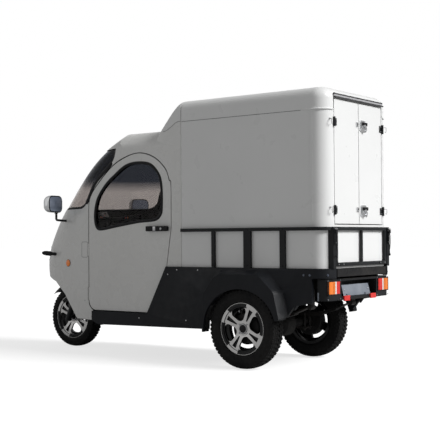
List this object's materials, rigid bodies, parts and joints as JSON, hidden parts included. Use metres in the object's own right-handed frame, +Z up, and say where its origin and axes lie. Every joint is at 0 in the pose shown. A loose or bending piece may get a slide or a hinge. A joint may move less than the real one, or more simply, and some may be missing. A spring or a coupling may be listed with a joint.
{
  "type": "electric cargo tricycle",
  "caption": "Enclosed electric cargo tricycle: one steered front wheel under a rounded cab, closed cargo box with rear doors and a stake rail with drop tailgate, driven rear axle.",
  "frame": {"origin": "on the ground, at the middle of the vehicle's overall box", "axes": "+X the vehicle's left, -Y its front, +Z up"},
  "size_m": [1.13, 2.8144, 1.782],
  "materials": {
    "white_panel": "gloss",
    "black_panel": "satin",
    "black_steel": "satin",
    "cab_glass": "clear",
    "lamp_glass": "clear",
    "tail_lens": "gloss",
    "red_reflector": "gloss",
    "seat_vinyl": "matt",
    "interior_plastic": "matt",
    "floor_sheet": "matt",
    "chrome_trim": "polished",
    "spring_steel": "painted dark",
    "motor_alloy": "cast",
    "battery_case": "matt",
    "plate_alloy": "satin",
    "rim_alloy": "machined",
    "tyre_rubber": "matt",
    "cargo_board": "sealed plywood"
  },
  "bodies": {
    "vehicle": {"battery_block": "battery_case", "box_floor": "cargo_board", "box_front_wall": "white_panel", "box_side_left": "white_panel", "box_side_right": "white_panel", "cargo_deck": "black_steel", "chassis_frame": "black_steel", "dashboard": "interior_plastic", "drip_rail": "black_steel", "drive_motor": "motor_alloy", "floor_pan": "floor_sheet", "front_signal_left": "black_panel", "front_signal_right": "black_panel", "gate_latch_left": "black_steel", "gate_latch_right": "black_steel", "headlamp_left": "lamp_glass", "headlamp_right": "lamp_glass", "leaf_spring_left": "spring_steel", "leaf_spring_right": "spring_steel", "lower_panel_left": "black_panel", "lower_panel_right": "black_panel", "mirror_left": "chrome_trim", "mirror_right": "chrome_trim", "nose_panel": "white_panel", "plate_bracket": "plate_alloy", "rear_axle": "black_steel", "rear_bumper": "black_steel", "rear_reflectors": "red_reflector", "rear_sill_panel": "white_panel", "roof_cap": "white_panel", "roof_fairing": "white_panel", "seat_back": "seat_vinyl", "seat_cushion": "seat_vinyl", "side_rail_left": "black_steel", "side_rail_right": "black_steel", "tail_lamp_left": "tail_lens", "tail_lamp_right": "tail_lens", "upper_cab": "white_panel", "windscreen": "cab_glass"},
    "steering": {"front_fork": "black_steel", "front_mudguard": "black_panel", "handlebar": "black_steel"},
    "front_wheel": {"front_tyre": "tyre_rubber", "front_rim": "rim_alloy"},
    "rear_wheel_left": {"rear_tyre_left": "tyre_rubber", "rear_rim_left": "rim_alloy"},
    "rear_wheel_right": {"rear_tyre_right": "tyre_rubber", "rear_rim_right": "rim_alloy"},
    "cab_door_left": {"cab_door_left": "white_panel", "door_glass_left": "cab_glass", "door_handle_left": "black_panel"},
    "cab_door_right": {"cab_door_right": "white_panel", "door_glass_right": "cab_glass", "door_handle_right": "black_panel"},
    "cargo_door_left": {"cargo_door_left": "white_panel", "cargo_hinges_left": "black_steel"},
    "cargo_door_right": {"cargo_door_right": "white_panel", "cargo_hinges_right": "black_steel", "cargo_latches": "chrome_trim"},
    "tailgate": {"tailgate": "black_steel"}
  },
  "joints": [
    {"name": "steer", "type": "hinge", "parent": "vehicle", "child": "steering", "pos_m": [0, -1.13165, 0.21781], "axis": [0, 0.3907, 0.9205], "range_deg": [-35, 35]},
    {"name": "front_wheel_spin", "type": "hinge", "parent": "steering", "child": "front_wheel", "pos_m": [0, -1.17215, 0.235], "axis": [1, 0, 0], "continuous": true},
    {"name": "rear_wheel_left_spin", "type": "hinge", "parent": "vehicle", "child": "rear_wheel_left", "pos_m": [0.412, 0.76085, 0.26], "axis": [1, 0, 0], "continuous": true},
    {"name": "rear_wheel_right_spin", "type": "hinge", "parent": "vehicle", "child": "rear_wheel_right", "pos_m": [-0.412, 0.76085, 0.26], "axis": [1, 0, 0], "continuous": true},
    {"name": "cab_door_left_hinge", "type": "hinge", "parent": "vehicle", "child": "cab_door_left", "pos_m": [0.412, -0.63915, 0.7], "axis": [0, 0, -1], "range_deg": [0, 65]},
    {"name": "cab_door_right_hinge", "type": "hinge", "parent": "vehicle", "child": "cab_door_right", "pos_m": [-0.412, -0.63915, 0.7], "axis": [0, 0, 1], "range_deg": [0, 65]},
    {"name": "cargo_door_left_hinge", "type": "hinge", "parent": "vehicle", "child": "cargo_door_left", "pos_m": [0.317, 1.37485, 1.3], "axis": [0, 0, -1], "range_deg": [0, 110]},
    {"name": "cargo_door_right_hinge", "type": "hinge", "parent": "vehicle", "child": "cargo_door_right", "pos_m": [-0.317, 1.37485, 1.3], "axis": [0, 0, 1], "range_deg": [0, 110]},
    {"name": "tailgate_hinge", "type": "hinge", "parent": "vehicle", "child": "tailgate", "pos_m": [0, 1.38085, 0.668], "axis": [-1, 0, 0], "range_deg": [0, 95]}
  ]
}
